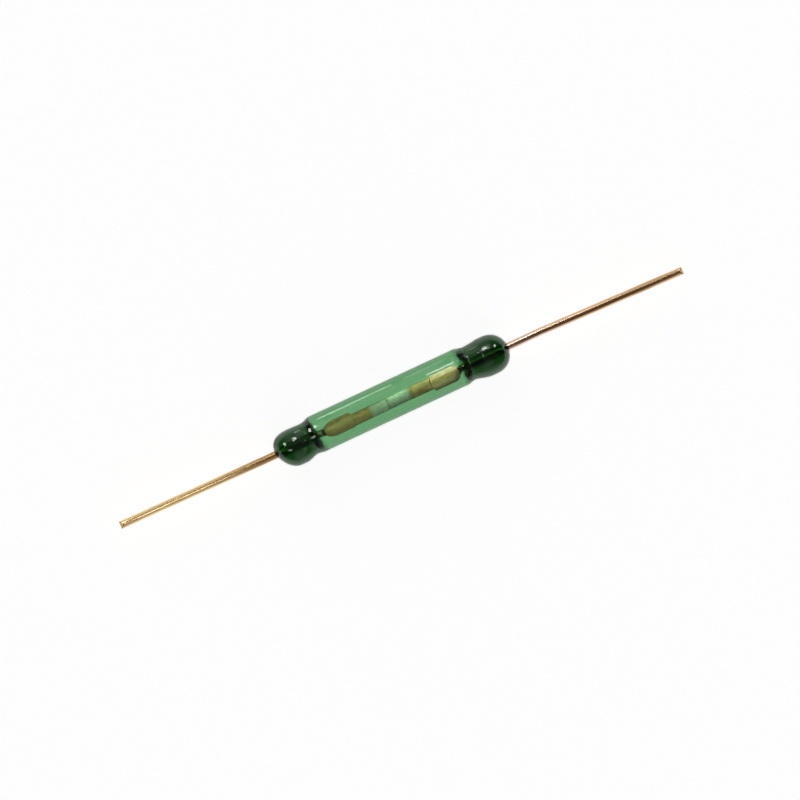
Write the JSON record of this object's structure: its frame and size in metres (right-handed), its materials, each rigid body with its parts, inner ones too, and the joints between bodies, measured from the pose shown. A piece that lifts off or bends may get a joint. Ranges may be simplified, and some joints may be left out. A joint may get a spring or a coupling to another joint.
{
  "type": "glass reed switch",
  "caption": "Normally open reed switch: flat plated reeds sealed in a green glass capsule, overlapping at the contacts, with a round wire lead at each end.",
  "frame": {"origin": "on the glass tube's axis, at the middle of the capsule's length", "axes": "+X along the capsule towards the right lead, +Y across the blades' width, +Z square to the flat blades, on the side of the right reed"},
  "size_m": [0.0341, 0.0023, 0.0022],
  "materials": {
    "green_glass": "fire-polished green glass",
    "lead_plating": "drawn wire with a thin copper-gold plating",
    "blade_plating": "satin gold plating, silvery at the contacts"
  },
  "bodies": {
    "capsule": {"glass_envelope": "green_glass", "left_lead": "lead_plating", "right_lead": "lead_plating"},
    "left_reed": {"left_blade": "blade_plating"},
    "right_reed": {"right_blade": "blade_plating"}
  },
  "joints": [
    {"name": "left_reed_bend", "type": "hinge", "parent": "capsule", "child": "left_reed", "pos_m": [-0.00404, -0.00008, -0.00016], "axis": [0, -1, 0], "range_deg": [0, 0.69], "stiffness_Nm_per_rad": 0.056},
    {"name": "right_reed_bend", "type": "hinge", "parent": "capsule", "child": "right_reed", "pos_m": [0.00404, -0.00008, 0.00016], "axis": [0, -1, 0], "range_deg": [0, 0.69]}
  ],
  "couplings": [
    {"joint": "right_reed_bend", "follows": "left_reed_bend", "ratio": 1}
  ]
}
